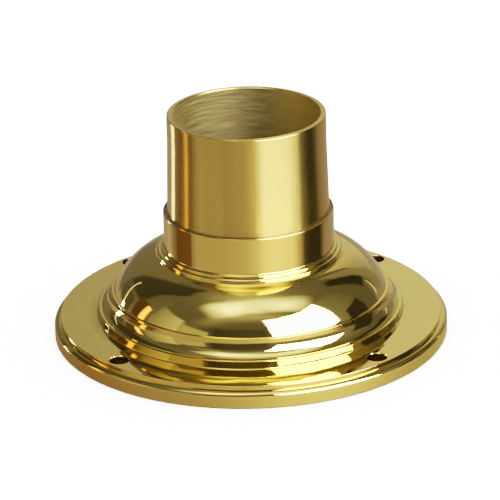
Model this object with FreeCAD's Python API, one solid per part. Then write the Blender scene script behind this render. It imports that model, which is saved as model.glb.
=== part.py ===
"""Pier mount: a bolt-down base with a round spigot that a lantern slides over.

Frame: Z is up, the origin is the centre of the underside, all sizes in mm.
Each loose piece of the assembly is one STEP file in the folder "parts".
"""
import math
import os

import FreeCAD
import Part

# ---- base casting: flange -------------------------------------------------
FLANGE_R = 95.25            # 7 1/2 in across
FOOT_EDGE_R = 0.4           # broken edge of the underside
SIDE_TOP_Z = 6.1            # top of the straight satin side
EDGE_ROUND_R = 3.0          # round above the side
EDGE_ROUND_DEG = 25.0       # the round meets the side at this slight corner
STEP_R = 92.3               # vertical step up to the flat
FLAT_Z = 10.2               # top of the flat
FLAT_CORNER_R = 0.3         # crisp, lightly broken edge of the flat
SWELL_R = 79.5              # where the flat starts to swell up to the mouldings
SWELL_ARC_R = 50.0

# ---- base casting: mouldings above the flat -------------------------------
FOOT_R = 73.8               # lowest vertical band
FOOT_FILLET_R = 0.7
FOOT_LEDGE_Z = 14.5         # top of that band
FOOT_CORNER_R = 0.6
COVE_FOOT_R = 72.0          # where the cove meets the ledge
COVE_FOOT_Z = 14.75
COVE_TOP_R = 67.2           # where the cove meets the upper fillet
COVE_TOP_Z = 22.3
UPPER_FILLET_Z = 22.9       # top of the upper fillet
UPPER_CORNER_R = 0.3

# ---- base casting: dome ---------------------------------------------------
DOME_CX = 35.76             # centre of the dome's arc, from the axis
DOME_CZ = 9.39
DOME_R = 32.9               # radius of the dome's arc
DOME_TOP_R = 46.0           # where the dome meets the fillet under the beads
DOME_WALL = 4.0             # thickness of the dome
DOME_TOP_RISE = 0.4         # slight rise from the dome's end to the fillet

# ---- base casting: beads and collar ---------------------------------------
BEAD_FILLET_R = 45.2        # vertical fillet under the beads
BEAD_FILLET_Z = 41.75
LOWER_BEAD_R = 44.7
LOWER_BEAD_ROUND = 1.2
MID_LEDGE_Z = 43.2          # ledge between the two beads
UPPER_BEAD_R = 42.75
UPPER_BEAD_ROUND = 1.0
UPPER_LEDGE_Z = 44.5
COLLAR_R = 41.1
COLLAR_COVE_R = 0.55        # tiny cove between the upper bead and the collar
LIP_Z = 62.4                # top of the collar's rounded lip
LIP_W = 0.8                 # width of the lip
SEAT_Z = 61.4               # floor of the groove, where the tube's shoulder sits

# ---- base casting: inside -------------------------------------------------
NECK_FIT = 0.05             # radial clearance of the tube's neck in the collar
CLAMP_FACE_Z = 34.5         # underside of the collar, where the washer presses
CLAMP_FACE_R = 50.0
INNER_WALL_R = 63.6         # opening under the dome
INNER_WALL_Z = 17.0
POCKET_IN_R = 74.0          # lightening pocket under the flange
POCKET_OUT_R = 89.6
POCKET_D = 4.8
HOLE_BOSS_R = 9.0
RIB_W = 5.0
GROOVE_IN_R = 66.4          # gasket groove in the underside
GROOVE_OUT_R = 70.4
GROOVE_D = 2.5

# ---- mounting holes -------------------------------------------------------
HOLE_R = 4.7625             # 3/8 in holes
HOLE_CIRCLE_R = 85.725      # on a 6 3/4 in bolt circle
HOLE_COUNT = 4
HOLE_FIRST_DEG = 45.0
HOLE_RIM = 0.35             # broken edge round the top of each hole

# ---- fitter tube ----------------------------------------------------------
TUBE_R = 38.1               # 3 in across, over the straight land at the top
LAND_BOTTOM_Z = 98.0
TUBE_FOOT_R = 39.1          # the tube widens evenly from the land to its shoulder
TUBE_BORE_R = 35.25
TUBE_TOP_Z = 111.0
RIM_ROUND = 0.5
RIM_CHAMFER = 0.4
NECK_R = 37.1
NECK_BOTTOM_Z = 26.0
NECK_CHAMFER = 0.6

# ---- retaining washer and ring nut ----------------------------------------
WASHER_T = 1.5
WASHER_OUT_R = 48.0
NUT_T = 6.0
NUT_OUT_R = 46.0
NUT_CHAMFER = 0.8
NUT_SLOT_W = 6.0
NUT_SLOT_D = 2.5
NUT_SLOT_R = 42.5           # the slots are cut in from the rim to this radius

# ---- lock screw in the ring nut -------------------------------------------
LOCK_R = 2.0
LOCK_AT_R = 41.6
LOCK_DEG = 0.0
LOCK_STICKS_OUT = 0.6
HEX_ACROSS_FLATS = 2.0
HEX_DEPTH = 2.2

# ---- ground screw, in a boss at the back ----------------------------------
GROUND_AT_R = 54.0
GROUND_DEG = 90.0
BOSS_R = 5.5
BOSS_FACE_Z = 20.0
BOSS_REACH = 20.0           # uncut length, which ends inside the dome's wall
GROUND_HOLE_TOP_Z = 29.0
GROUND_SCREW_R = 2.5
GROUND_SCREW_TOP_Z = 28.0
GROUND_HEAD_R = 4.8
GROUND_HEAD_H = 3.2
GROUND_HEAD_ROUND = 1.2
GROUND_SLOT_W = 1.2
GROUND_SLOT_D = 1.4
CUP_R = 5.4
CUP_T = 1.0
CUP_LIP_H = 2.2
CUP_LIP_W = 0.8
CUP_FIT = 0.1               # radial clearance of the screw in the cup

OVERCUT = 1.0               # how far a cutting shape runs past the face it cuts

OUT_DIR = "parts"
UP = FreeCAD.Vector(0, 0, 1)
ORIGIN = FreeCAD.Vector(0, 0, 0)


class Outline:
    """A closed outline in the radius-height plane, to be turned about Z."""

    def __init__(self, radius, height):
        self.start = FreeCAD.Vector(radius, 0, height)
        self.here = self.start
        self.edges = []

    def line(self, radius, height):
        there = FreeCAD.Vector(radius, 0, height)
        if there.distanceToPoint(self.here) > 1e-6:
            self.edges.append(Part.makeLine(self.here, there))
            self.here = there
        return self

    def arc(self, centre_r, centre_z, size, from_deg, to_deg):
        """An arc about a centre, reached by a straight line if need be."""
        def at(degrees):
            angle = math.radians(degrees)
            return FreeCAD.Vector(
                centre_r + size * math.cos(angle), 0,
                centre_z + size * math.sin(angle))
        first = at(from_deg)
        self.line(first.x, first.z)
        middle = at(0.5 * (from_deg + to_deg))
        last = at(to_deg)
        self.edges.append(Part.Arc(self.here, middle, last).toShape())
        self.here = last
        return self

    def turned(self):
        """The solid made by turning the closed outline about Z."""
        self.line(self.start.x, self.start.z)
        face = Part.Face(Part.Wire(self.edges))
        solid = face.revolve(ORIGIN, UP, 360)
        return Part.Solid(solid.Shells[0]) if solid.ShapeType != "Solid" else solid


def ring(inner_r, outer_r, bottom_z, top_z):
    outline = Outline(inner_r, bottom_z)
    outline.line(outer_r, bottom_z)
    outline.line(outer_r, top_z)
    outline.line(inner_r, top_z)
    return outline.turned()


def polar(radius, degrees, height):
    angle = math.radians(degrees)
    return FreeCAD.Vector(
        radius * math.cos(angle), radius * math.sin(angle), height)


def rod(radius, bottom, length):
    return Part.makeCylinder(radius, length, bottom, UP)


def hole_angles():
    step = 360.0 / HOLE_COUNT
    return [HOLE_FIRST_DEG + i * step for i in range(HOLE_COUNT)]


def dome_angle(radius):
    """Angle on the dome's arc, in degrees, at a distance from the axis."""
    return math.degrees(math.acos((radius - DOME_CX) / DOME_R))


def add_flange(outline):
    """Side, round, step, flat and the swell up to the mouldings."""
    outline.arc(FLANGE_R - FOOT_EDGE_R, FOOT_EDGE_R, FOOT_EDGE_R, 270, 360)
    slant = math.radians(EDGE_ROUND_DEG)
    round_cr = FLANGE_R - EDGE_ROUND_R * math.cos(slant)
    round_cz = SIDE_TOP_Z - EDGE_ROUND_R * math.sin(slant)
    outline.arc(round_cr, round_cz, EDGE_ROUND_R, EDGE_ROUND_DEG, 90)
    outline.line(STEP_R, round_cz + EDGE_ROUND_R)
    outline.arc(STEP_R - FLAT_CORNER_R, FLAT_Z - FLAT_CORNER_R, FLAT_CORNER_R, 0, 90)
    run = SWELL_R - FOOT_R - FOOT_FILLET_R
    lean = math.degrees(math.asin(run / SWELL_ARC_R))
    outline.arc(SWELL_R, FLAT_Z + SWELL_ARC_R, SWELL_ARC_R, 270, 270 - lean)
    foot_z = FLAT_Z + SWELL_ARC_R * (1 - math.cos(math.radians(lean)))
    outline.arc(FOOT_R + FOOT_FILLET_R, foot_z + FOOT_FILLET_R, FOOT_FILLET_R, 270, 180)


def add_mouldings(outline):
    """Foot band, ledge, cove and upper fillet."""
    outline.arc(FOOT_R - FOOT_CORNER_R, FOOT_LEDGE_Z - FOOT_CORNER_R, FOOT_CORNER_R, 0, 90)
    outline.line(COVE_FOOT_R, FOOT_LEDGE_Z)
    outline.line(COVE_FOOT_R, COVE_FOOT_Z)
    drop = COVE_TOP_Z - COVE_FOOT_Z
    run = COVE_FOOT_R - COVE_TOP_R
    sweep = 2 * math.atan2(run, drop)
    cove_r = drop / math.sin(sweep)
    outline.arc(COVE_TOP_R + cove_r, COVE_TOP_Z, cove_r, 180 + math.degrees(sweep), 180)
    outline.arc(COVE_TOP_R - UPPER_CORNER_R, UPPER_FILLET_Z - UPPER_CORNER_R,
                UPPER_CORNER_R, 0, 90)


def add_dome(outline):
    """The single round arc between the upper fillet and the beads."""
    foot = math.degrees(math.asin((UPPER_FILLET_Z - DOME_CZ) / DOME_R))
    outline.arc(DOME_CX, DOME_CZ, DOME_R, foot, dome_angle(DOME_TOP_R))


def add_collar(outline):
    """Two small beads, the plain collar and its rounded lip."""
    outline.line(BEAD_FILLET_R, outline.here.z + DOME_TOP_RISE)
    outline.line(BEAD_FILLET_R, BEAD_FILLET_Z)
    outline.line(LOWER_BEAD_R, BEAD_FILLET_Z)
    outline.arc(LOWER_BEAD_R - LOWER_BEAD_ROUND, MID_LEDGE_Z - LOWER_BEAD_ROUND,
                LOWER_BEAD_ROUND, 0, 90)
    outline.line(UPPER_BEAD_R, MID_LEDGE_Z)
    outline.arc(UPPER_BEAD_R - UPPER_BEAD_ROUND, UPPER_LEDGE_Z - UPPER_BEAD_ROUND,
                UPPER_BEAD_ROUND, 0, 90)
    outline.arc(COLLAR_R + COLLAR_COVE_R, UPPER_LEDGE_Z + COLLAR_COVE_R,
                COLLAR_COVE_R, 270, 180)
    lip = 0.5 * LIP_W
    outline.arc(COLLAR_R - lip, LIP_Z - lip, lip, 0, 180)
    outline.line(COLLAR_R - LIP_W, SEAT_Z)


def add_inside(outline):
    """Socket for the tube's neck, clamping face and hollow of the dome."""
    socket_r = NECK_R + NECK_FIT
    outline.line(socket_r, SEAT_Z)
    outline.line(socket_r, CLAMP_FACE_Z)
    outline.line(CLAMP_FACE_R, CLAMP_FACE_Z)
    inner_r = DOME_R - DOME_WALL
    top = math.degrees(math.acos((CLAMP_FACE_R - DOME_CX) / inner_r))
    low = math.degrees(math.asin((INNER_WALL_Z - DOME_CZ) / inner_r))
    outline.arc(DOME_CX, DOME_CZ, inner_r, top, low)
    outline.line(INNER_WALL_R, INNER_WALL_Z)
    outline.line(INNER_WALL_R, 0)


def lightening_pocket():
    """The hollow under the flange, less the hole bosses and the ribs."""
    pocket = ring(POCKET_IN_R, POCKET_OUT_R, 0, POCKET_D)
    for degrees in hole_angles():
        boss = rod(HOLE_BOSS_R, polar(HOLE_CIRCLE_R, degrees, 0), POCKET_D)
        pocket = pocket.cut(boss)
        rib = Part.makeBox(FLANGE_R, RIB_W, POCKET_D, FreeCAD.Vector(0, -RIB_W / 2, 0))
        rib.rotate(ORIGIN, UP, degrees)
        rib_between = rib.copy()
        rib_between.rotate(ORIGIN, UP, 0.5 * 360.0 / HOLE_COUNT)
        pocket = pocket.cut(rib).cut(rib_between)
    return pocket


def mounting_hole(degrees):
    """A plain through hole with a broken edge at the flat."""
    hole = rod(HOLE_R, polar(HOLE_CIRCLE_R, degrees, -OVERCUT), FLAT_Z + 2 * OVERCUT)
    rim = Part.makeCone(
        HOLE_R, HOLE_R + 3 * HOLE_RIM, 3 * HOLE_RIM,
        polar(HOLE_CIRCLE_R, degrees, FLAT_Z - HOLE_RIM), UP)
    return hole.fuse(rim)


def ground_boss():
    """Boss hanging from the inside of the dome, cut back to the dome's wall."""
    foot = polar(GROUND_AT_R, GROUND_DEG, BOSS_FACE_Z)
    boss = rod(BOSS_R, foot, BOSS_REACH)
    mid_wall = DOME_R - 0.5 * DOME_WALL
    inside = Outline(0, 0)
    inside.line(DOME_CX + mid_wall, 0)
    inside.arc(DOME_CX, DOME_CZ, mid_wall, 0, 90)
    inside.line(0, DOME_CZ + mid_wall)
    return boss.common(inside.turned())


def base_casting():
    outline = Outline(FLANGE_R - FOOT_EDGE_R, 0)
    add_flange(outline)
    add_mouldings(outline)
    add_dome(outline)
    add_collar(outline)
    add_inside(outline)
    body = outline.turned().fuse(ground_boss())
    body = body.cut(lightening_pocket())
    body = body.cut(ring(GROOVE_IN_R, GROOVE_OUT_R, 0, GROOVE_D))
    for degrees in hole_angles():
        body = body.cut(mounting_hole(degrees))
    foot = polar(GROUND_AT_R, GROUND_DEG, BOSS_FACE_Z)
    tapped = rod(GROUND_SCREW_R, foot, GROUND_HOLE_TOP_Z - BOSS_FACE_Z)
    return body.cut(tapped).removeSplitter()


def fitter_tube():
    """Three inch tube, slightly tapered, with a turned-down neck below its shoulder."""
    outline = Outline(TUBE_BORE_R, NECK_BOTTOM_Z)
    outline.line(NECK_R - NECK_CHAMFER, NECK_BOTTOM_Z)
    outline.line(NECK_R, NECK_BOTTOM_Z + NECK_CHAMFER)
    outline.line(NECK_R, SEAT_Z)
    outline.line(TUBE_FOOT_R, SEAT_Z)
    outline.line(TUBE_R, LAND_BOTTOM_Z)
    outline.arc(TUBE_R - RIM_ROUND, TUBE_TOP_Z - RIM_ROUND, RIM_ROUND, 0, 90)
    outline.line(TUBE_BORE_R + RIM_CHAMFER, TUBE_TOP_Z)
    outline.line(TUBE_BORE_R, TUBE_TOP_Z - RIM_CHAMFER)
    return outline.turned()


def retaining_washer():
    socket_r = NECK_R + NECK_FIT
    return ring(socket_r, WASHER_OUT_R, CLAMP_FACE_Z - WASHER_T, CLAMP_FACE_Z)


def ring_nut():
    """Nut on the end of the neck, with spanner slots cut in its rim."""
    top_z = CLAMP_FACE_Z - WASHER_T
    bottom_z = top_z - NUT_T
    outline = Outline(NECK_R, bottom_z)
    outline.line(NUT_OUT_R - NUT_CHAMFER, bottom_z)
    outline.line(NUT_OUT_R, bottom_z + NUT_CHAMFER)
    outline.line(NUT_OUT_R, top_z)
    outline.line(NECK_R, top_z)
    nut = outline.turned()
    for degrees in hole_angles():
        slot = Part.makeBox(
            NUT_OUT_R, NUT_SLOT_W, NUT_SLOT_D + OVERCUT,
            FreeCAD.Vector(NUT_SLOT_R, -NUT_SLOT_W / 2, bottom_z - OVERCUT))
        slot.rotate(ORIGIN, UP, degrees)
        nut = nut.cut(slot)
    lock_hole = rod(LOCK_R, polar(LOCK_AT_R, LOCK_DEG, bottom_z), NUT_T)
    return nut.cut(lock_hole)


def nut_lock_screw():
    """Headless screw that bears on the washer and stops the nut turning."""
    top_z = CLAMP_FACE_Z - WASHER_T
    bottom_z = top_z - NUT_T - LOCK_STICKS_OUT
    foot = polar(LOCK_AT_R, LOCK_DEG, bottom_z)
    screw = rod(LOCK_R, foot, top_z - bottom_z)
    corner_r = HEX_ACROSS_FLATS / math.sqrt(3)
    corners = [foot + polar(corner_r, 60 * i, 0) for i in range(7)]
    socket = Part.Face(Part.makePolygon(corners)).extrude(UP * HEX_DEPTH)
    return screw.cut(socket)


def base_gasket():
    return ring(GROOVE_IN_R, GROOVE_OUT_R, 0, GROOVE_D)


def ground_cup_washer():
    """Cup that keeps a bare wire under the ground screw's head."""
    outline = Outline(GROUND_SCREW_R + CUP_FIT, BOSS_FACE_Z - CUP_T)
    outline.line(GROUND_SCREW_R + CUP_FIT, BOSS_FACE_Z)
    outline.line(CUP_R + CUP_LIP_W, BOSS_FACE_Z)
    outline.line(CUP_R + CUP_LIP_W, BOSS_FACE_Z - CUP_LIP_H)
    outline.line(CUP_R, BOSS_FACE_Z - CUP_LIP_H)
    outline.line(CUP_R, BOSS_FACE_Z - CUP_T)
    cup = outline.turned()
    cup.translate(polar(GROUND_AT_R, GROUND_DEG, 0))
    return cup


def ground_screw():
    """Pan head screw, driven up into the boss from below."""
    head_top = BOSS_FACE_Z - CUP_T
    head_bottom = head_top - GROUND_HEAD_H
    outline = Outline(0, head_bottom)
    outline.arc(GROUND_HEAD_R - GROUND_HEAD_ROUND, head_bottom + GROUND_HEAD_ROUND,
                GROUND_HEAD_ROUND, -90, 0)
    outline.line(GROUND_HEAD_R, head_top)
    outline.line(GROUND_SCREW_R, head_top)
    outline.line(GROUND_SCREW_R, GROUND_SCREW_TOP_Z)
    outline.line(0, GROUND_SCREW_TOP_Z)
    screw = outline.turned()
    slot = Part.makeBox(
        4 * GROUND_HEAD_R, GROUND_SLOT_W, GROUND_SLOT_D,
        FreeCAD.Vector(-2 * GROUND_HEAD_R, -GROUND_SLOT_W / 2, head_bottom))
    screw = screw.cut(slot)
    screw.translate(polar(GROUND_AT_R, GROUND_DEG, 0))
    return screw


PIECES = {
    "base_casting": base_casting,
    "fitter_tube": fitter_tube,
    "retaining_washer": retaining_washer,
    "ring_nut": ring_nut,
    "nut_lock_screw": nut_lock_screw,
    "base_gasket": base_gasket,
    "ground_cup_washer": ground_cup_washer,
    "ground_screw": ground_screw,
}

os.makedirs(OUT_DIR, exist_ok=True)
for name, build in PIECES.items():
    shape = build()
    solids = shape.Solids
    if len(solids) != 1 or not solids[0].isValid():
        raise ValueError(name + " is not one valid solid")
    solids[0].exportStep(os.path.join(OUT_DIR, name + ".step"))
    print(name, round(solids[0].Volume / 1000.0, 1), "cm3", solids[0].BoundBox)
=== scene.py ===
"""A turned and polished brass pier mount on a plain pale floor.

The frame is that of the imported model: Z is up, and the origin is the centre of
the underside. The shapes of the pieces are given in mm and built in metres. The
studio, the floor and the camera are given in metres.
"""
import math

import bmesh
import bpy
from mathutils import Matrix, Vector


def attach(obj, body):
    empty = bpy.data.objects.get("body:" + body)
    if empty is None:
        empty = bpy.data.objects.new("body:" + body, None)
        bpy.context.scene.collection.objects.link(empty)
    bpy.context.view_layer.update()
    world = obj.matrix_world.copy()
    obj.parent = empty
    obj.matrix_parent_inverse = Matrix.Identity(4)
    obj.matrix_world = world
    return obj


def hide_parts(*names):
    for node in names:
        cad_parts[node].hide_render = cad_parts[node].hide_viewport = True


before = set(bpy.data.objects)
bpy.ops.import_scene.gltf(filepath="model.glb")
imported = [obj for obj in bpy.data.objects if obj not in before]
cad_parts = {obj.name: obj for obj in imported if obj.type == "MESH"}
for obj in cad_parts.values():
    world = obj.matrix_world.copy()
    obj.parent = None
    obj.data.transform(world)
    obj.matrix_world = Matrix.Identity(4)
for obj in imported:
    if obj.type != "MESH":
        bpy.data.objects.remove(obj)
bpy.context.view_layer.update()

MM = 0.001
TURNS = 240                     # facets round each turned piece
WELD_GAP = 0.001                # mm
SAME_POINT = 1e-6               # mm; nearer points of an outline are one point
SHARP_ABOVE = 28                # degrees; edges that bend more stay sharp
AREA_WEIGHT = 50                # neutral: faces count by their plain area
SCENE = bpy.context.scene


# ---------------------------------------------------------------- outlines --
class Outline:
    """A closed outline of radius and height, in mm, with arcs cut in facets.

    Every facet carries the name of the finish that its turned faces get.
    """

    def __init__(self, radius, height, finish):
        self.points = [(radius, height)]
        self.finishes = []
        self.finish = finish

    def to(self, radius, height):
        last = self.points[-1]
        if math.hypot(radius - last[0], height - last[1]) > SAME_POINT:
            self.points.append((radius, height))
            self.finishes.append(self.finish)
        return self

    def by(self, radius, height, steps):
        """A straight run in equal steps."""
        r0, z0 = self.points[-1]
        for i in range(1, steps + 1):
            t = i / steps
            self.to(r0 + (radius - r0) * t, z0 + (height - z0) * t)
        return self

    def arc(self, centre_r, centre_z, size, from_deg, to_deg, steps):
        for i in range(steps + 1):
            a = math.radians(from_deg + (to_deg - from_deg) * i / steps)
            self.to(centre_r + size * math.cos(a), centre_z + size * math.sin(a))
        return self


def turned(name, outline, finishes):
    """The closed mesh made by turning an outline about Z."""
    points = outline.points
    if math.dist(points[0], points[-1]) < SAME_POINT:
        points = points[:-1]
    names = outline.finishes + [outline.finish]
    bm = bmesh.new()
    rings = []
    for k in range(TURNS):
        a = 2 * math.pi * k / TURNS
        c, s = math.cos(a) * MM, math.sin(a) * MM
        rings.append([bm.verts.new((r * c, r * s, z * MM)) for r, z in points])
    count = len(points)
    for k in range(TURNS):
        here, there = rings[k], rings[(k + 1) % TURNS]
        for i in range(count):
            j = (i + 1) % count
            face = bm.faces.new((here[i], there[i], there[j], here[j]))
            face.material_index = finishes.index(names[i])
    bmesh.ops.recalc_face_normals(bm, faces=bm.faces)
    return finish_mesh(name, bm)


def finish_mesh(name, bm):
    """Makes an object of a bmesh, which is freed."""
    mesh = bpy.data.meshes.new(name)
    bm.to_mesh(mesh)
    bm.free()
    obj = bpy.data.objects.new(name, mesh)
    SCENE.collection.objects.link(obj)
    return obj


def prism(bm, *levels):
    """Adds a closed upright shape, given a loop and its height at each level."""
    rings = [[bm.verts.new((x * MM, y * MM, z * MM)) for x, y in loop] for loop, z in levels]
    faces = [bm.faces.new(rings[0][::-1]), bm.faces.new(rings[-1])]
    count = len(rings[0])
    for low, high in zip(rings, rings[1:]):
        for i in range(count):
            j = (i + 1) % count
            faces.append(bm.faces.new((low[i], low[j], high[j], high[i])))
    return faces


def circle(cx, cy, radius, steps):
    """Corners of a circle, which starts half a step round."""
    turn = 2 * math.pi / steps
    return [(cx + radius * math.cos(turn * (i + 0.5)),
             cy + radius * math.sin(turn * (i + 0.5))) for i in range(steps)]


def polar(radius, degrees):
    a = math.radians(degrees)
    return radius * math.cos(a), radius * math.sin(a)


def weld(mesh):
    """Joins corners that a cut left in the same place."""
    bm = bmesh.new()
    bm.from_mesh(mesh)
    bmesh.ops.remove_doubles(bm, verts=bm.verts, dist=WELD_GAP * MM)
    bm.to_mesh(mesh)
    bm.free()


def combine(obj, other, how):
    """Applies one exact boolean and throws the tool away."""
    step = obj.modifiers.new(how.lower(), "BOOLEAN")
    step.operation = how
    step.solver = "EXACT"
    step.object = other
    graph = bpy.context.evaluated_depsgraph_get()
    mesh = bpy.data.meshes.new_from_object(obj.evaluated_get(graph))
    obj.modifiers.clear()
    weld(mesh)
    old = obj.data
    obj.data = mesh
    bpy.data.meshes.remove(old)
    bpy.data.meshes.remove(other.data)


def smooth(obj):
    """Round faces shade smoothly, flat faces stay flat, corners stay sharp."""
    mesh = obj.data
    mesh.polygons.foreach_set("use_smooth", [True] * len(mesh.polygons))
    mesh.set_sharp_from_angle(angle=math.radians(SHARP_ABOVE))
    weight = obj.modifiers.new("normals", "WEIGHTED_NORMAL")
    weight.mode = "FACE_AREA"
    weight.weight = AREA_WEIGHT
    weight.keep_sharp = True


# --------------------------------------------------------------- materials --
MICRON = 0.000001
NOISE_SPREAD = (0.3, 0.7)       # the span of a noise that roughness follows


class Material:
    """A node material built round one metal or rubber shader."""

    def __init__(self, name):
        self.data = bpy.data.materials.new(name)
        self.data.use_nodes = True
        self.tree = self.data.node_tree
        self.shader = self.tree.nodes["Principled BSDF"]
        self.place = self.node("ShaderNodeTexCoord").outputs["Object"]

    def node(self, kind, **values):
        made = self.tree.nodes.new(kind)
        for key, value in values.items():
            if key in made.inputs:
                made.inputs[key].default_value = value
            else:
                setattr(made, key, value)
        return made

    def link(self, out, into):
        self.tree.links.new(out, into)

    def maths(self, operation, a, b=0.0):
        made = self.node("ShaderNodeMath", operation=operation)
        for socket, value in zip(made.inputs, (a, b)):
            if isinstance(value, (int, float)):
                socket.default_value = value
            else:
                self.link(value, socket)
        return made.outputs[0]

    def noise(self, place, scale, detail, rough=0.5):
        made = self.node("ShaderNodeTexNoise", Scale=scale, Detail=detail)
        made.inputs["Roughness"].default_value = rough
        self.link(place, made.inputs["Vector"])
        return made.outputs["Fac"]

    def span(self, value, low, high, to_low, to_high):
        """Maps one span of numbers onto another, held at its ends."""
        made = self.node("ShaderNodeMapRange", clamp=True)
        for socket, number in zip(made.inputs[1:5], (low, high, to_low, to_high)):
            socket.default_value = number
        self.link(value, made.inputs[0])
        return made.outputs[0]

    def blend(self, factor, first, second):
        made = self.node("ShaderNodeMix", data_type="RGBA")
        made.inputs[6].default_value = (*first, 1)
        made.inputs[7].default_value = (*second, 1)
        self.link(factor, made.inputs[0])
        return made.outputs[2]

    def turned_place(self, across, along):
        """Coordinates that make a noise run in rings round Z."""
        split = self.node("ShaderNodeSeparateXYZ")
        self.link(self.place, split.inputs[0])
        x, y, z = split.outputs
        radius = self.maths("SQRT", self.maths(
            "ADD", self.maths("MULTIPLY", x, x), self.maths("MULTIPLY", y, y)))
        turn = self.maths("ARCTAN2", y, x)
        # the turn is carried on a circle, so that the rings have no seam
        join = self.node("ShaderNodeCombineXYZ")
        self.link(self.maths("MULTIPLY", self.maths("COSINE", turn), along), join.inputs[0])
        self.link(self.maths("MULTIPLY", self.maths("SINE", turn), along), join.inputs[1])
        depth = self.maths("SUBTRACT", z, radius)
        self.link(self.maths("MULTIPLY", depth, across), join.inputs[2])
        return join.outputs[0]

    def bump(self, height, microns, strength, over=None):
        """Normals of a relief so many microns deep, laid over other normals if given."""
        made = self.node("ShaderNodeBump", Strength=strength, Distance=microns * MICRON)
        self.link(height, made.inputs["Height"])
        if over is not None:
            self.link(over, made.inputs["Normal"])
        return made.outputs["Normal"]

    def use(self, **values):
        for key, value in values.items():
            socket = self.shader.inputs[key.replace("_", " ")]
            if hasattr(value, "links"):
                self.link(value, socket)
            else:
                socket.default_value = value

    def metal(self, factor, first, second):
        self.use(Metallic=1.0, Base_Color=self.blend(factor, first, second))

    def roughness(self, noise, low, high):
        self.use(Roughness=self.span(noise, *NOISE_SPREAD, low, high))


BRASS_LIGHT = (0.93, 0.68, 0.165)
BRASS_WARM = (0.91, 0.65, 0.145)
BRASS_DULL = (0.66, 0.53, 0.22)
TUBE_WARM, TUBE_LIGHT = (0.82, 0.585, 0.13), (0.85, 0.615, 0.15)
# partly the bore's dull finish, partly painted shade inside the tube
BORE_SHADED_DARK, BORE_SHADED_LIGHT = (0.35, 0.265, 0.09), (0.60, 0.475, 0.185)
CAST_STAIN = (0.34, 0.22, 0.09)
# near black: painted shade for the groove round the tube's foot
SEAM_SHADE_DARK, SEAM_SHADE_LIGHT = (0.022, 0.014, 0.008), (0.075, 0.045, 0.02)
ZINC_DARK, ZINC_LIGHT = (0.50, 0.51, 0.52), (0.68, 0.69, 0.70)
GREEN_DARK, GREEN_LIGHT = (0.02, 0.20, 0.07), (0.05, 0.34, 0.13)
RUBBER_DARK, RUBBER_DUSTY = (0.010, 0.010, 0.011), (0.026, 0.025, 0.024)


def polished_brass():
    """Buffed to a mirror, with slight waves left by hand polishing."""
    m = Material("polished_brass")
    broad = m.noise(m.place, 28, 2)
    wobble = m.noise(m.place, 62, 1)
    rings = m.noise(m.turned_place(2600, 5), 1, 2)
    smear = m.noise(m.place, 90, 4)
    m.metal(broad, BRASS_WARM, BRASS_LIGHT)
    m.use(Roughness=m.span(smear, 0.35, 0.75, 0.025, 0.06))
    waves = m.bump(wobble, 600, 0.38, m.bump(broad, 600, 0.14))
    m.use(Normal=m.bump(rings, 4, 0.5, waves))
    return m.data


def satin_brass(name, low, high, shade):
    """Fine turned finish, softer than the polished faces."""
    m = Material(name)
    broad = m.noise(m.place, 45, 2)
    grain = m.noise(m.place, 2600, 2, 0.7)
    rings = m.noise(m.turned_place(3000, 6), 1, 3)
    warm = [s * part for s, part in zip(shade, BRASS_WARM)]
    light = [s * part for s, part in zip(shade, BRASS_LIGHT)]
    m.metal(broad, warm, light)
    m.roughness(grain, low, high)
    m.use(Normal=m.bump(grain, 3, 0.5, m.bump(rings, 4, 0.5)))
    return m.data


def along_turning(m):
    """Turned rings spread reflections up and down, and hardly sideways."""
    tangent = m.node("ShaderNodeTangent", direction_type="RADIAL", axis="Z")
    m.link(tangent.outputs[0], m.shader.inputs["Tangent"])
    m.use(Anisotropic=1.0, Anisotropic_Rotation=0.25)


def turned_tube_brass():
    """The tube's outside, with a fine satin grain."""
    m = Material("turned_tube_brass")
    broad = m.noise(m.place, 45, 2)
    grain = m.noise(m.place, 2200, 2, 0.7)
    rings = m.noise(m.turned_place(3500, 8), 1, 3)
    m.metal(broad, TUBE_WARM, TUBE_LIGHT)
    m.roughness(grain, 0.235, 0.275)
    along_turning(m)
    m.use(Normal=m.bump(grain, 1.5, 0.4, m.bump(rings, 3, 0.5)))
    return m.data


def bored_brass():
    """The tube's bore: dull, and darkened as painted shade inside the tube, with streaks left
    by the boring tool.
    """
    m = Material("bored_brass")
    streak = m.noise(m.turned_place(1300, 2.2), 1, 4, 0.65)
    broad = m.noise(m.place, 60, 3)
    m.metal(streak, BORE_SHADED_DARK, BORE_SHADED_LIGHT)
    m.roughness(streak, 0.34, 0.5)
    m.use(Normal=m.bump(streak, 20, 0.6, m.bump(broad, 300, 0.03)))
    return m.data


def cast_brass():
    """Rough sand-cast skin of the faces that never show in use."""
    m = Material("cast_brass")
    pits = m.noise(m.place, 1500, 5, 0.7)
    stain = m.noise(m.place, 55, 4, 0.6)
    m.metal(stain, CAST_STAIN, BRASS_DULL)
    m.roughness(pits, 0.45, 0.65)
    m.use(Normal=m.bump(pits, 250, 0.6))
    return m.data


def painted_seam_shade():
    """Painted shade: near black in the narrow groove round the tube's foot, a little mottled.
    """
    m = Material("painted_seam_shade")
    mottle = m.noise(m.place, 900, 4, 0.6)
    m.use(Base_Color=m.blend(mottle, SEAM_SHADE_DARK, SEAM_SHADE_LIGHT))
    m.roughness(mottle, 0.5, 0.75)
    m.use(Normal=m.bump(mottle, 50, 0.5))
    return m.data


def machined_brass():
    """Plain turned brass of the nut and the cup washer."""
    m = Material("machined_brass")
    rings = m.noise(m.turned_place(2500, 8), 1, 3)
    stain = m.noise(m.place, 120, 3)
    m.metal(stain, BRASS_DULL, BRASS_WARM)
    m.roughness(rings, 0.25, 0.4)
    m.use(Normal=m.bump(rings, 30, 0.6))
    return m.data


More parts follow.
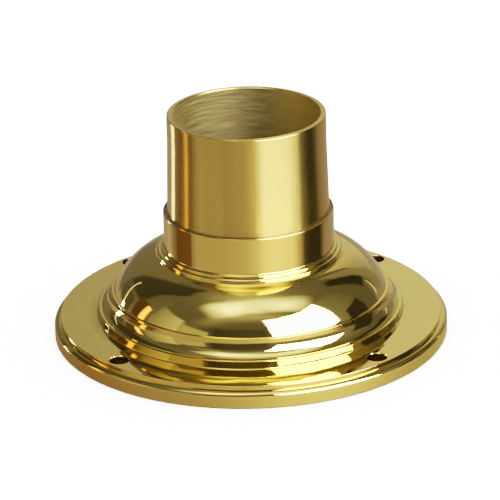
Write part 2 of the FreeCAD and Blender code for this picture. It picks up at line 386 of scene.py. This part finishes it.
def zinc_steel():
    """Zinc plated steel of the retaining washer and the lock screw."""
    m = Material("zinc_steel")
    spangle = m.noise(m.place, 350, 3)
    fine = m.noise(m.place, 2500, 3)
    m.metal(spangle, ZINC_DARK, ZINC_LIGHT)
    m.roughness(fine, 0.28, 0.42)
    m.use(Normal=m.bump(fine, 40, 0.5))
    return m.data


def green_screw():
    """Green passivated steel of the ground screw."""
    m = Material("green_screw")
    patch = m.noise(m.place, 500, 3)
    fine = m.noise(m.place, 3000, 3)
    m.metal(patch, GREEN_DARK, GREEN_LIGHT)
    m.roughness(fine, 0.25, 0.42)
    m.use(Normal=m.bump(fine, 30, 0.5))
    return m.data


def black_rubber():
    """Dull rubber of the gasket, dusty in places."""
    m = Material("black_rubber")
    fine = m.noise(m.place, 3500, 4, 0.7)
    dust = m.noise(m.place, 90, 4)
    m.use(Base_Color=m.blend(dust, RUBBER_DARK, RUBBER_DUSTY))
    m.use(Specular_IOR_Level=0.12)
    m.roughness(fine, 0.6, 0.8)
    m.use(Normal=m.bump(fine, 80, 0.6))
    return m.data


# ------------------------------------------------------------ base casting --
# Lengths are in mm. A name that ends in _R is a distance from the axis or a
# radius, one in _Z is a height, and a ROUND or FILLET is the radius of an arc.
FLANGE_R = 95.25
FLANGE_LOW_ROUND = 0.4
FLANGE_SIDE_Z = 6.1             # where the plain side ends
FLANGE_TOP_ROUND = 3
FLANGE_SLANT = 25               # degrees round the arc at which the side meets it
FLAT_OUTER_R = 92.0
FLAT_ROUND = 0.3
FLAT_INNER_R = 79.5
FLAT_Z = 10.2
SWEEP_ROUND = 50                # the slow rise from the flat to the first step
SWEEP_RUN = 5
STEP_FILLET = 0.7
STEP_ROUND = 0.6
STEP_R = 73.2                   # centre of the step's round
STEP_Z = 14.5
COVE_FOOT_R, COVE_FOOT_Z = 72.0, 14.75
COVE_TOP_R, COVE_TOP_Z = 67.2, 22.3
COVE_IN, COVE_UP = 4.8, 7.55    # how far the cove runs inward and upward
COVE_ROUND = 0.3
DOME_CX, DOME_CZ, DOME_R = 35.76, 9.39, 32.9
DOME_WALL = 4.0
DOME_FOOT_Z = 22.9
DOME_TOP_R = 46.0
NECK_R, NECK_RISE = 45.2, 0.4
BEAD_SEAT_R, BEAD_SEAT_Z = 44.7, 41.75
LOW_BEAD = (43.5, 42.0, 1.2)    # centre's distance and height, and size
HIGH_BEAD = (41.75, 43.5, 1.0)
BETWEEN_BEADS = (42.75, 43.2)
COLLAR_FILLET = (41.65, 45.05, 0.55)
COLLAR_TOP_R, COLLAR_TOP_Z = 41.1, 62.0
LIP = (40.7, 62.0, 0.4)
LIP_INNER_R = 40.3
SEAT_Z = 61.4                   # where the tube's shoulder sits
SOCKET_R, SOCKET_FOOT_Z = 37.15, 34.5
LEDGE_R = 50.0                  # where the ledge under the collar meets the dome
INSIDE_FOOT_R, INSIDE_FOOT_Z = 63.6, 17.0
GROOVE_INNER_R, GROOVE_OUTER_R, GROOVE_Z = 66.4, 70.4, 2.5

HOLE_ANGLES = (45, 135, 225, 315)
HOLE_CIRCLE_R = 85.725
HOLE_R = 4.7625
HOLE_RIM = 0.35                 # broken edge round the top of each hole
RIM_REACH = 3                   # its cutter goes out and up by this many rims
HOLE_STEPS = 48
POCKET_INNER_R, POCKET_OUTER_R, POCKET_Z = 74.0, 89.6, 4.8
RIB_LINES, RIB_REACH, RIB_HALF = 4, 100, 2.5
HOLE_BOSS_R, HOLE_BOSS_STEPS = 9.0, 64
KEPT_FROM_Z, KEPT_TO_Z = -2.0, 6.0      # span of the ribs and bosses left standing
BELOW_Z = -1.0                  # where cutters start, below the underside

GROUND_AT = (0.0, 54.0)         # where the ground screw's boss hangs
GROUND_BOSS_R, GROUND_BOSS_Z, GROUND_BOSS_STEPS = 5.5, 20.0, 48
TAPPED_R, TAPPED_STEPS = 2.5, 32
TAPPED_FROM_Z, TAPPED_TO_Z = 15.0, 29.0


def casting_outline():
    """Flange, foot mouldings, dome, beads and collar, then the inside."""
    foot_r = FLANGE_R - FLANGE_LOW_ROUND
    o = Outline(foot_r, 0, "polished")
    o.arc(foot_r, FLANGE_LOW_ROUND, FLANGE_LOW_ROUND, 270, 360, 5)
    o.finish = "satin"
    o.by(FLANGE_R, FLANGE_SIDE_Z, 3)
    o.finish = "polished"
    slant = math.radians(FLANGE_SLANT)
    round_cr = FLANGE_R - FLANGE_TOP_ROUND * math.cos(slant)
    round_cz = FLANGE_SIDE_Z - FLANGE_TOP_ROUND * math.sin(slant)
    o.arc(round_cr, round_cz, FLANGE_TOP_ROUND, FLANGE_SLANT, 90, 14)
    o.to(FLAT_OUTER_R + FLAT_ROUND, round_cz + FLANGE_TOP_ROUND)
    o.arc(FLAT_OUTER_R, FLAT_Z - FLAT_ROUND, FLAT_ROUND, 0, 90, 5)
    o.to(FLAT_INNER_R, FLAT_Z)

    # sweep, step and cove of the foot
    lean = math.degrees(math.asin(SWEEP_RUN / SWEEP_ROUND))
    o.arc(FLAT_INNER_R, FLAT_Z + SWEEP_ROUND, SWEEP_ROUND, 270, 270 - lean, 6)
    o.arc(FLAT_INNER_R - SWEEP_RUN, o.points[-1][1] + STEP_FILLET, STEP_FILLET, 270, 180, 6)
    o.arc(STEP_R, STEP_Z - STEP_ROUND, STEP_ROUND, 0, 90, 6)
    o.to(COVE_FOOT_R, STEP_Z)
    o.to(COVE_FOOT_R, COVE_FOOT_Z)
    sweep = 2 * math.atan2(COVE_IN, COVE_UP)
    cove_r = COVE_UP / math.sin(sweep)
    o.arc(COVE_TOP_R + cove_r, COVE_TOP_Z, cove_r, 180 + math.degrees(sweep), 180, 22)
    o.arc(COVE_TOP_R - COVE_ROUND, COVE_TOP_Z + COVE_ROUND, COVE_ROUND, 0, 90, 5)

    # dome
    foot = math.degrees(math.asin((DOME_FOOT_Z - DOME_CZ) / DOME_R))
    top = math.degrees(math.acos((DOME_TOP_R - DOME_CX) / DOME_R))
    o.arc(DOME_CX, DOME_CZ, DOME_R, foot, top, 36)

    # beads, collar, lip and the groove round the tube's foot
    o.to(NECK_R, o.points[-1][1] + NECK_RISE)
    o.to(NECK_R, BEAD_SEAT_Z)
    o.to(BEAD_SEAT_R, BEAD_SEAT_Z)
    o.arc(*LOW_BEAD, 0, 90, 9)
    o.to(*BETWEEN_BEADS)
    o.arc(*HIGH_BEAD, 0, 90, 9)
    o.arc(*COLLAR_FILLET, 270, 180, 6)
    o.finish = "collar"
    o.by(COLLAR_TOP_R, COLLAR_TOP_Z, 4)
    o.finish = "polished"
    o.arc(*LIP, 0, 100, 5)
    # the groove's faces get the near-black painted shade
    o.finish = "seam"
    o.arc(*LIP, 100, 180, 4)
    o.to(LIP_INNER_R, SEAT_Z)
    o.to(SOCKET_R, SEAT_Z)

    # the inside, down to the gasket's groove
    o.finish = "cast"
    o.by(SOCKET_R, SOCKET_FOOT_Z, 4)
    o.to(LEDGE_R, SOCKET_FOOT_Z)
    inner = DOME_R - DOME_WALL
    high = math.degrees(math.acos((LEDGE_R - DOME_CX) / inner))
    low = math.degrees(math.asin((INSIDE_FOOT_Z - DOME_CZ) / inner))
    o.arc(DOME_CX, DOME_CZ, inner, high, low, 16)
    o.to(INSIDE_FOOT_R, INSIDE_FOOT_Z)
    o.to(INSIDE_FOOT_R, 0.0)
    o.to(GROOVE_INNER_R, 0.0)
    o.to(GROOVE_INNER_R, GROOVE_Z)
    o.to(GROOVE_OUTER_R, GROOVE_Z)
    o.to(GROOVE_OUTER_R, 0.0)
    return o


def keep_metal(pocket, name, loop):
    """Takes an upright shape out of the pocket, so that its metal stays."""
    bm = bmesh.new()
    prism(bm, (loop, KEPT_FROM_Z), (loop, KEPT_TO_Z))
    combine(pocket, finish_mesh(name, bm), "DIFFERENCE")


def under_flange_cells():
    """The shallow hollow under the flange, less the ribs and the hole bosses."""
    ring = Outline(POCKET_INNER_R, BELOW_Z, "cast")
    ring.to(POCKET_OUTER_R, BELOW_Z)
    ring.to(POCKET_OUTER_R, POCKET_Z)
    ring.to(POCKET_INNER_R, POCKET_Z)
    cells = turned("cells", ring, ["cast"])
    rib = [(-RIB_REACH, -RIB_HALF), (RIB_REACH, -RIB_HALF),
           (RIB_REACH, RIB_HALF), (-RIB_REACH, RIB_HALF)]
    for k in range(RIB_LINES):
        turn = math.radians(180 / RIB_LINES * k)
        c, s = math.cos(turn), math.sin(turn)
        keep_metal(cells, "ribs", [(x * c - y * s, x * s + y * c) for x, y in rib])
    for degrees in HOLE_ANGLES:
        centre = polar(HOLE_CIRCLE_R, degrees)
        keep_metal(cells, "boss", circle(*centre, HOLE_BOSS_R, HOLE_BOSS_STEPS))
    return cells


def casting_cutters():
    """All that is cut from the casting, as separate closed shapes in one mesh.

    One boolean with them all keeps the casting's mesh closed.
    """
    cells = under_flange_cells()
    bm = bmesh.new()
    bm.from_mesh(cells.data)
    bpy.data.meshes.remove(cells.data)
    for face in bm.faces:
        face.material_index = CAST_INDEX
    rim_z = FLAT_Z - HOLE_RIM
    reach = RIM_REACH * HOLE_RIM
    for degrees in HOLE_ANGLES:
        centre = polar(HOLE_CIRCLE_R, degrees)
        hole = circle(*centre, HOLE_R, HOLE_STEPS)
        flare = circle(*centre, HOLE_R + reach, HOLE_STEPS)
        prism(bm, (hole, BELOW_Z), (hole, rim_z), (flare, rim_z + reach))
    tapped = circle(*GROUND_AT, TAPPED_R, TAPPED_STEPS)
    for face in prism(bm, (tapped, TAPPED_FROM_Z), (tapped, TAPPED_TO_Z)):
        face.material_index = CAST_INDEX
    return finish_mesh("cutters", bm)


def mid_wall_z(x, y):
    """Height of the middle of the dome's wall over one place."""
    out = math.hypot(x, y) - DOME_CX
    return DOME_CZ + math.sqrt((DOME_R - 0.5 * DOME_WALL) ** 2 - out ** 2)


def ground_boss():
    """Boss that hangs from the dome, its hidden end inside the dome's wall."""
    steps = GROUND_BOSS_STEPS
    loop = circle(*GROUND_AT, GROUND_BOSS_R, steps)
    bm = bmesh.new()
    low = [bm.verts.new((x * MM, y * MM, GROUND_BOSS_Z * MM)) for x, y in loop]
    high = [bm.verts.new((x * MM, y * MM, mid_wall_z(x, y) * MM)) for x, y in loop]
    x, y = GROUND_AT
    centre = bm.verts.new((x * MM, y * MM, mid_wall_z(x, y) * MM))
    bm.faces.new(low[::-1])
    for i in range(steps):
        j = (i + 1) % steps
        bm.faces.new((low[i], low[j], high[j], high[i]))
    for i in range(steps):
        bm.faces.new((high[i], high[(i + 1) % steps], centre))
    return finish_mesh("boss", bm)


def add_materials(obj, materials):
    """Gives an object its materials.

    The list is cleared only where it holds some, because clearing sets every
    face back to the first finish.
    """
    if len(obj.data.materials):
        obj.data.materials.clear()
    for material in materials:
        obj.data.materials.append(material)


POLISHED = polished_brass()
SATIN = satin_brass("satin_brass", 0.42, 0.52, (0.76, 0.72, 0.66))
COLLAR = satin_brass("collar_brass", 0.045, 0.07, (1.0, 1.0, 1.0))
CAST = cast_brass()
# near-black painted shade for the groove round the tube's foot
SEAM = painted_seam_shade()
TUBE = turned_tube_brass()
BORE = bored_brass()

FINISHES = ["polished", "satin", "collar", "cast", "seam"]
CAST_INDEX = FINISHES.index("cast")
casting = turned("brass_base_casting", casting_outline(), FINISHES)
boss = ground_boss()
boss.data.polygons.foreach_set("material_index", [CAST_INDEX] * len(boss.data.polygons))
cutters = casting_cutters()
for piece in (casting, boss, cutters):
    add_materials(piece, [POLISHED, SATIN, COLLAR, CAST, SEAM])
combine(casting, boss, "UNION")
combine(casting, cutters, "DIFFERENCE")
smooth(casting)
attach(casting, "root")
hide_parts("base_casting")


TUBE_R, TUBE_FOOT_R, BORE_R = 38.1, 39.1, 35.25
TUBE_TOP_Z, LAND_Z = 111.0, 98.0        # the land is straight, for the lantern
TUBE_ROUND, BORE_EDGE = 0.5, 0.4
STEM_R, STEM_FOOT_Z, STEM_EDGE = 37.1, 26.0, 0.6


def tube_outline():
    """The stem in the socket, the outside that shows, and the bore."""
    o = Outline(BORE_R, STEM_FOOT_Z, "cast")
    o.to(STEM_R - STEM_EDGE, STEM_FOOT_Z)
    o.to(STEM_R, STEM_FOOT_Z + STEM_EDGE)
    o.by(STEM_R, SEAT_Z, 4)
    o.to(TUBE_FOOT_R, SEAT_Z)
    o.finish = "outside"
    o.by(TUBE_R, LAND_Z, 6)
    o.by(TUBE_R, TUBE_TOP_Z - TUBE_ROUND, 3)
    o.arc(TUBE_R - TUBE_ROUND, TUBE_TOP_Z - TUBE_ROUND, TUBE_ROUND, 0, 90, 6)
    o.to(BORE_R + BORE_EDGE, TUBE_TOP_Z)
    o.to(BORE_R, TUBE_TOP_Z - BORE_EDGE)
    o.finish = "bore"
    o.by(BORE_R, STEM_FOOT_Z, 8)
    return o


tube = turned("brass_fitter_tube", tube_outline(), ["outside", "bore", "cast"])
add_materials(tube, [TUBE, BORE, CAST])
smooth(tube)
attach(tube, "root")
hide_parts("fitter_tube")


# ----------------------------------------------------- pieces kept from CAD --
MACHINED = machined_brass()
ZINC = zinc_steel()
CARRIED = {
    "retaining_washer": ZINC,
    "ring_nut": MACHINED,
    "nut_lock_screw": ZINC,
    "base_gasket": black_rubber(),
    "ground_cup_washer": MACHINED,
    "ground_screw": green_screw(),
}
for name, material in CARRIED.items():
    add_materials(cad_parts[name], [material])


# ----------------------------------------------------------------- studio --
VIEW_TURN = 1.7                 # the picture is taken from a little to the right
ROOM_R = 5.0
ROOM_STEP = 1.5                 # degrees between the room's corners
SOFTBOX_R = 0.97 * ROOM_R       # softboxes hang just inside the room
SOFTBOX_CELLS = 10


def toward(azimuth, elevation):
    """Direction: azimuth 0 is at the camera, and grows to its right."""
    a = math.radians(azimuth + VIEW_TURN)
    e = math.radians(elevation)
    return Vector((math.sin(a) * math.cos(e), -math.cos(a) * math.cos(e), math.sin(e)))


def only_in_reflections(obj):
    """Leaves an object to be seen by shiny faces and by nothing else."""
    obj.visible_camera = False
    obj.visible_diffuse = False
    obj.visible_transmission = False
    obj.visible_volume_scatter = False
    obj.visible_shadow = False


def held(value, low, high):
    """0 below low, 1 above high, and a smooth rise between them."""
    t = min(1.0, max(0.0, (value - low) / (high - low)))
    return t * t * (3 - 2 * t)


def read_off(value, marks):
    """Reads numbers or colours off a list of (place, what is there)."""
    for (a, first), (b, second) in zip(marks, marks[1:]):
        if value <= b:
            t = max(0.0, (value - a) / (b - a))
            return first + (second - first) * t
    return marks[-1][1]


# brightness of the plain walls by elevation
WALLS = [(-90, 0.36), (-10, 0.38), (0, 0.33), (8, 0.22), (16, 0.16), (30, 0.12),
         (50, 0.13), (64, 0.17), (72, 0.28), (80, 0.6), (90, 0.9)]

# brightness of the tabletop by azimuth
TABLETOP = [(-180, 0.55), (-150, 0.42), (-135, 0.6), (-122, 0.25), (-108, 0.13),
            (-98, 0.20), (-88, 0.22), (-74, 0.55), (-30, 0.58), (-4, 0.74), (12, 1.2),
            (22, 2.0), (34, 2.3), (60, 1.9), (70, 0.75), (80, 0.08), (88, 0.04),
            (112, 0.05), (124, 0.34), (150, 0.42), (168, 0.60), (180, 0.55)]

STEEP_TABLE = 0.14              # how much of that is left straight below
STEEP_FROM, STEEP_TO = -22, -40 # elevations between which it falls off
HORIZON = (-7, 1)               # elevations between which table turns to wall

WARM = Vector((1.0, 0.94, 0.80))
TABLE_TINT = Vector((1.0, 0.81, 0.66))
RUST = Vector((1.0, 0.50, 0.22))
COOL = Vector((1.0, 1.04, 1.15))

# Flat panels round the room: azimuth from and to, elevation from and to at
# each side, brightness at each side, colour, and the width of the soft edge.
PANELS = [
    ((-112, -94), (10, 48), (10, 46), (0.13, 0.17), WARM, 4),
    ((-94, -63), (0, 39), (0, 35), (0.28, 0.85), WARM, 2),
    ((-62, -37), (0, 32), (0, 28), (0.50, 0.62), WARM, 2),
    ((-60, -34), (30, 38), (27, 36), (0.09, 0.08), WARM, 4),
    ((-34, 13), (0, 38), (0, 38), (0.05, 0.08), WARM, 5),
    ((-142, -113), (14, 66), (22, 60), (0.05, 0.04), WARM, 4),
    ((-146, -120), (0, 15), (0, 15), (0.11, 0.08), WARM, 3),
    ((-117, -97), (4, 27), (4, 27), (0.10, 0.09), RUST, 2),
    ((-114, -84), (-62, -2), (-62, -2), (0.13, 0.16), RUST, 3),
    ((-104, -99), (6, 26), (6, 26), (4.5, 5.5), RUST, 2),
    ((-98, -93), (-17, 3), (-17, 3), (3.5, 4.5), RUST, 2),
    ((-168, -143), (-4, 52), (-4, 50), (0.19, 0.17), WARM, 2),
    ((-184, -169), (2, 44), (2, 44), (0.70, 0.28), WARM, 3),
    ((80, 112), (-4, 54), (-4, 50), (0.27, 0.13), WARM, 3),
    ((90, 111), (-60, 24), (-60, 25), (0.03, 0.03), WARM, 3),
    ((111, 127), (-2, 40), (-2, 45), (0.12, 0.12), WARM, 3),
    ((125, 138), (20, 50), (22, 50), (0.03, 0.02), WARM, 3),
    ((138, 148), (-2, 44), (-2, 50), (0.25, 0.30), WARM, 2),
    ((147, 185), (-6, 6), (-6, 6), (0.38, 0.42), WARM, 3),
    ((147, 156), (5, 26), (5, 46), (0.45, 0.60), WARM, 2),
    ((155, 178), (5, 47), (5, 44), (0.66, 0.92), WARM, 3),
]


# The broad overhead light is an oblong with a soft edge, turned a little. Its
# places are given as the side and front parts of a direction of length 1.
OVERHEAD_COS, OVERHEAD_SIN = 0.970, 0.243
OVERHEAD_FRONT = 0.195          # its centre
OVERHEAD_HALF_SIDE, OVERHEAD_HALF_FRONT = 0.44, 0.205
OVERHEAD_EDGE = (0.70, 1.32)    # where its soft edge starts and ends
OVERHEAD_BACK = (-0.04, 0.10)   # from half lit, behind, to fully lit, in front
OVERHEAD_LEVEL = 2.3
LEFT_LOBE, RIGHT_LOBE, DIP = (-0.20, 0.27, 0.02), (0.33, 0.19, 0.012), (0.18, 0.36, 0.008)
LOBE_GAIN, DIP_LOSS = 1.4, 0.8
HALO_HALF_SIDE, HALO_FRONT, HALO_HALF_FRONT, HALO_LEVEL = 0.5, 0.5, 0.1, 0.45


def spot(side, front, place):
    """1 at the middle of a soft round spot, and close to 0 far from it."""
    at_side, at_front, spread = place
    return math.exp(-((side - at_side) ** 2 + (front - at_front) ** 2) / spread)


def overhead(colour, azimuth, elevation):
    """Lays the overhead light and the glow in front of it over a colour."""
    a, e = math.radians(azimuth), math.radians(elevation)
    side, front = math.sin(a) * math.cos(e), math.cos(a) * math.cos(e)
    u = OVERHEAD_COS * side - OVERHEAD_SIN * front
    v = OVERHEAD_SIN * side + OVERHEAD_COS * front
    reach = math.hypot((u / OVERHEAD_HALF_SIDE) ** 2,
                       ((v - OVERHEAD_FRONT) / OVERHEAD_HALF_FRONT) ** 2) ** 0.5
    lit = (1 - held(reach, *OVERHEAD_EDGE)) * (0.5 + 0.5 * held(front, *OVERHEAD_BACK))
    lobe = spot(side, front, LEFT_LOBE) + 0.5 * spot(side, front, RIGHT_LOBE)
    dip = spot(side, front, DIP)
    colour = colour.lerp(COOL * (OVERHEAD_LEVEL + LOBE_GAIN * lobe - DIP_LOSS * dip), lit)
    halo = math.exp(-(side / HALO_HALF_SIDE) ** 2
                    - ((front - HALO_FRONT) / HALO_HALF_FRONT) ** 2)
    return colour + WARM * (HALO_LEVEL * halo * (1 - lit))


def panel_over(colour, azimuth, elevation, panel):
    """Lays one panel over a colour."""
    (az0, az1), (low0, high0), (low1, high1), (lit0, lit1), tint, soft = panel
    half = 0.5 * soft
    for turn in (azimuth - 360, azimuth, azimuth + 360):
        across = (turn - az0) / (az1 - az0)
        if not -0.5 < across < 1.5:
            continue
        along = min(1.0, max(0.0, across))
        low = low0 + (low1 - low0) * along
        high = high0 + (high1 - high0) * along
        mask = (held(turn, az0 - half, az0 + half) * (1 - held(turn, az1 - half, az1 + half))
                * held(elevation, low - half, low + half)
                * (1 - held(elevation, high - half, high + half)))
        colour = colour.lerp(tint * (lit0 + (lit1 - lit0) * along), mask)
    return colour


def studio_colour(azimuth, elevation):
    """What the brass sees in one direction."""
    near = STEEP_TABLE + (1 - STEEP_TABLE) * held(elevation, STEEP_TO, STEEP_FROM)
    table = TABLE_TINT * (read_off(azimuth, TABLETOP) * near)
    wall = WARM * read_off(elevation, WALLS)
    colour = table.lerp(wall, held(elevation, *HORIZON))
    for panel in PANELS:
        colour = panel_over(colour, azimuth, elevation, panel)
    if elevation > 0:
        colour = overhead(colour, azimuth, elevation)
    return colour


def glow_material(name):
    """A material that shines evenly, with its tree and its emission node."""
    material = bpy.data.materials.new(name)
    material.use_nodes = True
    tree = material.node_tree
    tree.nodes.remove(tree.nodes["Principled BSDF"])
    light = tree.nodes.new("ShaderNodeEmission")
    tree.links.new(light.outputs[0], tree.nodes["Material Output"].inputs[0])
    return material, tree, light


def studio():
    """The room round the object, dim, and seen only in the brass."""
    across, down = round(360 / ROOM_STEP), round(180 / ROOM_STEP)
    bm = bmesh.new()
    layer = bm.verts.layers.float_color.new("glow")
    rows = []
    for j in range(down + 1):
        elevation = -90 + j * ROOM_STEP
        row = []
        for i in range(across):
            azimuth = -180 + i * ROOM_STEP
            vert = bm.verts.new(toward(azimuth, elevation) * ROOM_R)
            vert[layer] = (*studio_colour(azimuth, elevation), 1)
            row.append(vert)
        rows.append(row)
    for low, high in zip(rows, rows[1:]):
        for i in range(across):
            k = (i + 1) % across
            bm.faces.new((low[i], low[k], high[k], high[i]))
    obj = finish_mesh("studio_room", bm)
    material, tree, light = glow_material("studio_room")
    colour = tree.nodes.new("ShaderNodeAttribute")
    colour.attribute_name = "glow"
    tree.links.new(colour.outputs["Color"], light.inputs["Color"])
    material.cycles.emission_sampling = "NONE"
    obj.data.materials.append(material)
    only_in_reflections(obj)


def softbox(name, corners, level):
    """A bright evenly lit panel; corners are azimuth and elevation."""
    cells = SOFTBOX_CELLS
    bm = bmesh.new()
    grid = []
    for j in range(cells + 1):
        row = []
        for i in range(cells + 1):
            u, v = i / cells, j / cells
            low = [p + (q - p) * u for p, q in zip(corners[0], corners[1])]
            high = [p + (q - p) * u for p, q in zip(corners[3], corners[2])]
            az, el = [p + (q - p) * v for p, q in zip(low, high)]
            row.append(bm.verts.new(toward(az, el) * SOFTBOX_R))
        grid.append(row)
    for j in range(cells):
        for i in range(cells):
            bm.faces.new((grid[j][i], grid[j][i + 1], grid[j + 1][i + 1], grid[j + 1][i]))
    obj = finish_mesh(name, bm)
    material, tree, light = glow_material(name)
    light.inputs["Strength"].default_value = level
    obj.data.materials.append(material)
    only_in_reflections(obj)


studio()
softbox("softbox_right", ((20, 17), (79, 18), (80, 54), (13, 52)), 30)
softbox("lamp_left", ((-132, -16), (-125, -16), (-127, 2), (-131, 2)), 26)
softbox("lamp_left_top", ((-131, 2), (-129, 2), (-134, 26), (-135, 26)), 1.6)
softbox("lamp_right", ((130, 3), (133, 3), (134, 18), (133, 18)), 1.0)


FLOOR_HALF, FLOOR_CELLS = 6.0, 8
SHADE_R = 0.093
FLOOR_Z, SHADE_Z = -0.0002, -0.0001     # both just clear of the underside
PALE, NEAR_BLACK = (0.9, 0.9, 0.9, 1), (0.012, 0.010, 0.008, 1)
AIR_STRENGTH = 7.6


def lay_below(obj, material_name, colour, height):
    """Gives an object a matt colour and puts it below the part."""
    material = bpy.data.materials.new(material_name)
    material.use_nodes = True
    shader = material.node_tree.nodes["Principled BSDF"]
    shader.inputs["Base Color"].default_value = colour
    shader.inputs["Roughness"].default_value = 0.9
    shader.inputs["Specular IOR Level"].default_value = 0.1
    obj.data.materials.append(material)
    obj.location = (0, 0, height)


def floor():
    """The pale floor that the camera sees."""
    bm = bmesh.new()
    bmesh.ops.create_grid(bm, x_segments=FLOOR_CELLS, y_segments=FLOOR_CELLS, size=FLOOR_HALF)
    obj = finish_mesh("floor", bm)
    obj.visible_glossy = False
    lay_below(obj, "pale_floor", PALE, FLOOR_Z)


def under_shade():
    """The dark gap under the flange, seen only down the mounting holes."""
    bm = bmesh.new()
    bmesh.ops.create_circle(bm, cap_ends=True, segments=96, radius=SHADE_R)
    obj = finish_mesh("under_shade", bm)
    lay_below(obj, "under_shade", NEAR_BLACK, SHADE_Z)


floor()
under_shade()

world = bpy.data.worlds.new("studio_air")
world.use_nodes = True
SCENE.world = world
air = world.node_tree.nodes["Background"]
air.inputs["Color"].default_value = (1, 1, 1, 1)
air.inputs["Strength"].default_value = AIR_STRENGTH


# ----------------------------------------------------------------- camera --
CAMERA_AWAY = 1.8124
CAMERA_ABOVE = 23.4             # degrees, as are the three below
AIM_LEFT, AIM_UP, CAMERA_ROLL = -0.011, 1.187, 1.34
LENS, SENSOR = 268.3, 36        # mm
CLIP_NEAR, CLIP_FAR = 0.05, 50

position = toward(0, CAMERA_ABOVE) * CAMERA_AWAY
forward = (-position).normalized()
right = forward.cross(Vector((0, 0, 1))).normalized()
up = right.cross(forward)
for angle, axis in ((AIM_LEFT, up), (AIM_UP, right)):
    turn = Matrix.Rotation(math.radians(angle), 3, axis)
    forward, right, up = turn @ forward, turn @ right, turn @ up
turn = Matrix.Rotation(math.radians(CAMERA_ROLL), 3, forward)
right, up = turn @ right, turn @ up
lens = bpy.data.cameras.new("camera")
lens.sensor_width = SENSOR
lens.lens = LENS
lens.clip_start = CLIP_NEAR
lens.clip_end = CLIP_FAR
camera = bpy.data.objects.new("camera", lens)
basis = Matrix((right, up, -forward)).transposed().to_4x4()
camera.matrix_world = Matrix.Translation(position) @ basis
SCENE.collection.objects.link(camera)
SCENE.camera = camera


# ------------------------------------------------------------------- tones --
# bright tones roll off gently, as they do on film
WHITE_AT = 8.0
ALL_CHANNELS = 3                # the curve for red, green and blue together
TONES = ((0.25, 0.245), (0.41, 0.372), (0.77, 0.552), (1.28, 0.675),
         (2.05, 0.80), (3.6, 0.925), (5.6, 0.985))

SCENE.view_settings.view_transform = "Standard"
SCENE.view_settings.look = "None"
SCENE.view_settings.use_curve_mapping = True
curves = SCENE.view_settings.curve_mapping
curves.white_level = (WHITE_AT, WHITE_AT, WHITE_AT)
tone = curves.curves[ALL_CHANNELS]
for bright, shown in TONES:
    tone.points.new(bright / WHITE_AT, shown)
curves.update()
